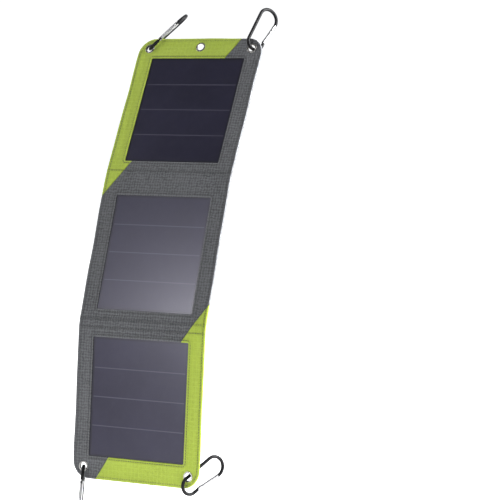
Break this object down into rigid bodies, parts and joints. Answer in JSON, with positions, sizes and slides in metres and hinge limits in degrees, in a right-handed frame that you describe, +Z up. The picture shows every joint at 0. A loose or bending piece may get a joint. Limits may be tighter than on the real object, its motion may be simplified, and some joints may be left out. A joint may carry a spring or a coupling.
{
  "type": "folding solar panel",
  "caption": "Folding solar charging panel of hinged cloth leaves with framed cells, corner carabiners, a hang eyelet and a rear pocket that holds the regulator and its outlet.",
  "frame": {"origin": "centre of the hang eyelet's hole in the middle of the top margin, at half the cloth's thickness", "axes": "+Z up as it hangs, +X to the right as the cells are seen, -Y towards the side that the cells face"},
  "size_m": [0.1856, 0.2343, 0.6224],
  "materials": {
    "green_cloth": "coated ripstop",
    "grey_cloth": "woven canvas",
    "rear_cloth": "woven canvas",
    "stiffener": "plain sheet",
    "module_board": "laminate",
    "cells": "monocrystalline silicon under laminate",
    "face_film": "thin clear satin film",
    "eyelet_metal": "bright nickel plate",
    "black_metal": "black anodised",
    "bright_metal": "plain satin",
    "steel": "plain",
    "tape": "hook and loop",
    "pouch_cloth": "fine mesh",
    "black_plastic": "fine spark texture",
    "circuit": "solder mask",
    "copper": "tinned copper strip"
  },
  "bodies": {
    "top_leaf": {"top_front_green": "green_cloth", "top_front_grey": "grey_cloth", "top_rear_cover": "rear_cloth", "top_stiffener": "stiffener", "top_module_board": "module_board", "top_cells": "cells", "top_face_film": "face_film", "hang_eyelet_rings": "eyelet_metal", "hang_eyelet_washers": "eyelet_metal", "top_eyelet_rings": "eyelet_metal", "top_eyelet_washers": "eyelet_metal", "pocket_pouch": "pouch_cloth", "pouch_loop_tape": "tape", "regulator_base": "black_plastic", "regulator_cover": "black_plastic", "usb_socket": "eyelet_metal", "circuit_board": "circuit", "case_screws": "steel"},
    "upper_strip": {"upper_strip_green": "green_cloth", "upper_strip_grey": "grey_cloth", "upper_strip_rear": "rear_cloth", "upper_strip_lead": "copper"},
    "middle_leaf": {"middle_front_green": "green_cloth", "middle_front_grey": "grey_cloth", "middle_rear_cover": "rear_cloth", "middle_stiffener": "stiffener", "middle_module_board": "module_board", "middle_cells": "cells", "middle_face_film": "face_film"},
    "lower_strip": {"lower_strip_green": "green_cloth", "lower_strip_grey": "grey_cloth", "lower_strip_rear": "rear_cloth", "lower_strip_lead": "copper"},
    "bottom_leaf": {"bottom_front_green": "green_cloth", "bottom_front_grey": "grey_cloth", "bottom_rear_cover": "rear_cloth", "bottom_stiffener": "stiffener", "bottom_module_board": "module_board", "bottom_cells": "cells", "bottom_face_film": "face_film", "bottom_eyelet_rings": "eyelet_metal", "bottom_eyelet_washers": "eyelet_metal"},
    "pocket_flap": {"pocket_flap": "pouch_cloth", "flap_hook_tape": "tape"},
    "top_left_carabiner": {"top_left_carabiner_frame": "black_metal", "top_left_gate_pin": "steel"},
    "top_left_gate": {"top_left_carabiner_gate": "bright_metal", "top_left_gate_spring": "steel"},
    "top_right_carabiner": {"top_right_carabiner_frame": "black_metal", "top_right_gate_pin": "steel"},
    "top_right_gate": {"top_right_carabiner_gate": "bright_metal", "top_right_gate_spring": "steel"},
    "bottom_left_carabiner": {"bottom_left_carabiner_frame": "black_metal", "bottom_left_gate_pin": "steel"},
    "bottom_left_gate": {"bottom_left_carabiner_gate": "bright_metal", "bottom_left_gate_spring": "steel"},
    "bottom_right_carabiner": {"bottom_right_carabiner_frame": "black_metal", "bottom_right_gate_pin": "steel"},
    "bottom_right_gate": {"bottom_right_carabiner_gate": "bright_metal", "bottom_right_gate_spring": "steel"}
  },
  "joints": [
    {"name": "upper_fold", "type": "hinge", "parent": "top_leaf", "child": "upper_strip", "pos_m": [0, -0.08431, -0.1521], "axis": [1, 0, 0], "range_deg": [-93, 80.5]},
    {"name": "upper_fold_second_edge", "type": "hinge", "parent": "upper_strip", "child": "middle_leaf", "pos_m": [0, -0.09161, -0.168], "axis": [1, 0, 0], "range_deg": [-93, 80.5]},
    {"name": "lower_fold", "type": "hinge", "parent": "middle_leaf", "child": "lower_strip", "pos_m": [0, -0.15138, -0.3296], "axis": [-1, 0, 0], "range_deg": [-22.5, 95.9]},
    {"name": "lower_fold_second_edge", "type": "hinge", "parent": "lower_strip", "child": "bottom_leaf", "pos_m": [0, -0.15363, -0.33945], "axis": [-1, 0, 0], "range_deg": [-22.5, 95.9]},
    {"name": "top_left_swing", "type": "hinge", "parent": "top_leaf", "child": "top_left_carabiner", "pos_m": [-0.0725, -0.00097, -0.00175], "axis": [0, -0.8746, 0.4848], "range_deg": [-25, 170]},
    {"name": "top_left_gate_hinge", "type": "hinge", "parent": "top_left_carabiner", "child": "top_left_gate", "pos_m": [-0.05596, -0.00343, 0.0114], "axis": [-0.6244, -0.2589, 0.7369], "range_deg": [0, 30], "stiffness_Nm_per_rad": 0.02, "springref_deg": -20.05},
    {"name": "top_right_swing", "type": "hinge", "parent": "top_leaf", "child": "top_right_carabiner", "pos_m": [0.0725, -0.00097, -0.00175], "axis": [0, -0.8746, 0.4848], "range_deg": [-140, 50]},
    {"name": "top_right_gate_hinge", "type": "hinge", "parent": "top_right_carabiner", "child": "top_right_gate", "pos_m": [0.07956, 0.01744, 0.00624], "axis": [0.866, -0.4373, 0.2424], "range_deg": [0, 30], "stiffness_Nm_per_rad": 0.02, "springref_deg": -20.05},
    {"name": "bottom_left_swing", "type": "hinge", "parent": "bottom_leaf", "child": "bottom_left_carabiner", "pos_m": [-0.0725, -0.1697, -0.50949], "axis": [0, -0.9956, 0.0941], "range_deg": [-120, 60]},
    {"name": "bottom_left_gate_hinge", "type": "hinge", "parent": "bottom_left_carabiner", "child": "bottom_left_gate", "pos_m": [-0.06871, -0.1808, -0.52724], "axis": [0.8921, 0.4435, -0.0867], "range_deg": [0, 30], "stiffness_Nm_per_rad": 0.02, "springref_deg": -20.05},
    {"name": "bottom_right_swing", "type": "hinge", "parent": "bottom_leaf", "child": "bottom_right_carabiner", "pos_m": [0.0725, -0.1697, -0.50949], "axis": [0, -0.9956, 0.0941], "range_deg": [-25, 60]},
    {"name": "bottom_right_gate_hinge", "type": "hinge", "parent": "bottom_right_carabiner", "child": "bottom_right_gate", "pos_m": [0.08025, -0.15714, -0.52509], "axis": [0.8746, -0.4827, 0.0456], "range_deg": [0, 30], "stiffness_Nm_per_rad": 0.02, "springref_deg": -20.05},
    {"name": "pocket_flap_hinge", "type": "hinge", "parent": "top_leaf", "child": "pocket_flap", "pos_m": [0, -0.02495, -0.05306], "axis": [1, 0, 0], "range_deg": [0, 88]}
  ]
}
